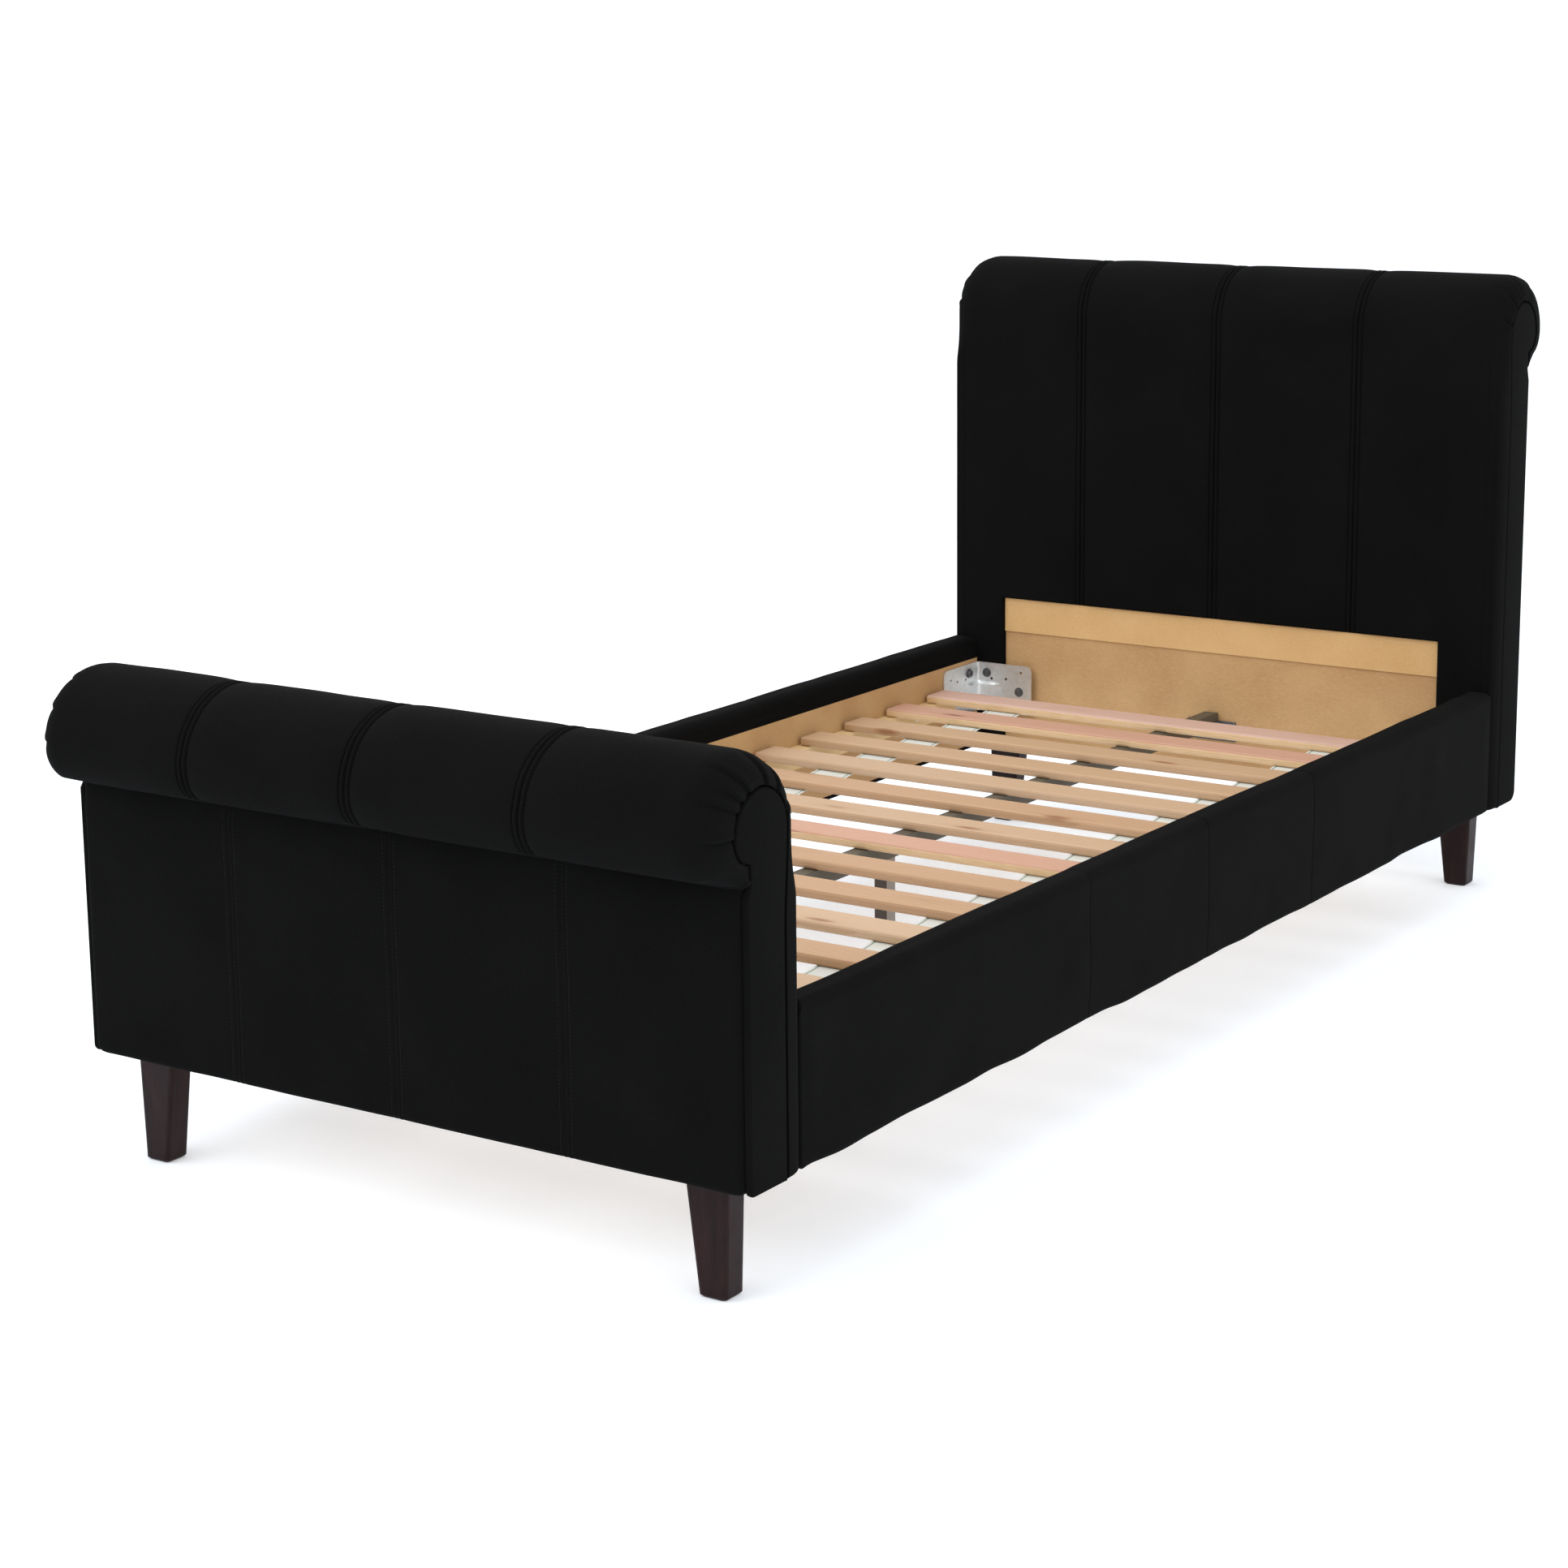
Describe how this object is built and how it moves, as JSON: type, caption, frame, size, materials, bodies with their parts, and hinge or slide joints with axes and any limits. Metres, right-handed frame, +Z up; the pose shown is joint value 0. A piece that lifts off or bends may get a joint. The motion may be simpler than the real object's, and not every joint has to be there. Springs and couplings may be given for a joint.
{
  "type": "sleigh bed",
  "caption": "Upholstered scroll-top sleigh bed frame with padded side rails, wooden slats, centre rail, corner brackets and tapered legs.",
  "frame": {"origin": "on the floor at the middle of the bed's length and width", "axes": "+X to the right side seen from the foot, +Y from the foot to the head, +Z up"},
  "size_m": [1.023, 2.4, 1.01],
  "materials": {
    "black_upholstery": "matt black padded upholstery",
    "tan_board": "bare tan board",
    "pine": "planed pine",
    "reddish_pine": "planed reddish pine heartwood",
    "pale_pine": "sawn pale pine",
    "white_webbing": "woven off-white webbing",
    "zinc_steel": "zinc plated",
    "grey_steel": "dark grey steel",
    "brown_steel": "brown powder coat",
    "dark_wood": "satin espresso stain",
    "black_plastic": "moulded"
  },
  "bodies": {
    "root": {"centre_leg": "brown_steel", "centre_leg_foot": "black_plastic", "centre_rail": "brown_steel", "centre_rail_bracket_foot": "grey_steel", "centre_rail_bracket_head": "grey_steel", "corner_bracket_foot_left": "zinc_steel", "corner_bracket_foot_right": "zinc_steel", "corner_bracket_head_left": "zinc_steel", "corner_bracket_head_right": "zinc_steel", "footboard_bottom_rail": "pale_pine", "footboard_cover": "black_upholstery", "footboard_end_board_left": "pale_pine", "footboard_end_board_right": "pale_pine", "footboard_fixing_rail": "pale_pine", "footboard_lining_batten": "pale_pine", "footboard_lining_board": "tan_board", "footboard_outer_board": "tan_board", "footboard_outer_pad": "black_upholstery", "footboard_scroll_facing_left": "black_upholstery", "footboard_scroll_facing_right": "black_upholstery", "footboard_top_rail": "pale_pine", "headboard_bottom_rail": "pale_pine", "headboard_cover": "black_upholstery", "headboard_end_board_left": "pale_pine", "headboard_end_board_right": "pale_pine", "headboard_fixing_rail": "pale_pine", "headboard_lining_batten": "pale_pine", "headboard_lining_board": "tan_board", "headboard_outer_board": "tan_board", "headboard_outer_pad": "black_upholstery", "headboard_scroll_facing_left": "black_upholstery", "headboard_scroll_facing_right": "black_upholstery", "headboard_top_rail": "pale_pine", "leg_foot_left": "dark_wood", "leg_foot_right": "dark_wood", "leg_head_left": "dark_wood", "leg_head_right": "dark_wood", "side_rail_board_left": "tan_board", "side_rail_board_right": "tan_board", "side_rail_pad_left": "black_upholstery", "side_rail_pad_right": "black_upholstery", "slat_01": "reddish_pine", "slat_02": "reddish_pine", "slat_03": "pine", "slat_04": "pine", "slat_05": "pine", "slat_06": "pine", "slat_07": "pine", "slat_08": "reddish_pine", "slat_09": "pine", "slat_10": "pine", "slat_11": "pine", "slat_12": "pine", "slat_13": "pine", "slat_14": "pine", "slat_ledger_left": "pale_pine", "slat_ledger_right": "pale_pine", "slat_webbing_left": "white_webbing", "slat_webbing_right": "white_webbing"}
  },
  "joints": []
}
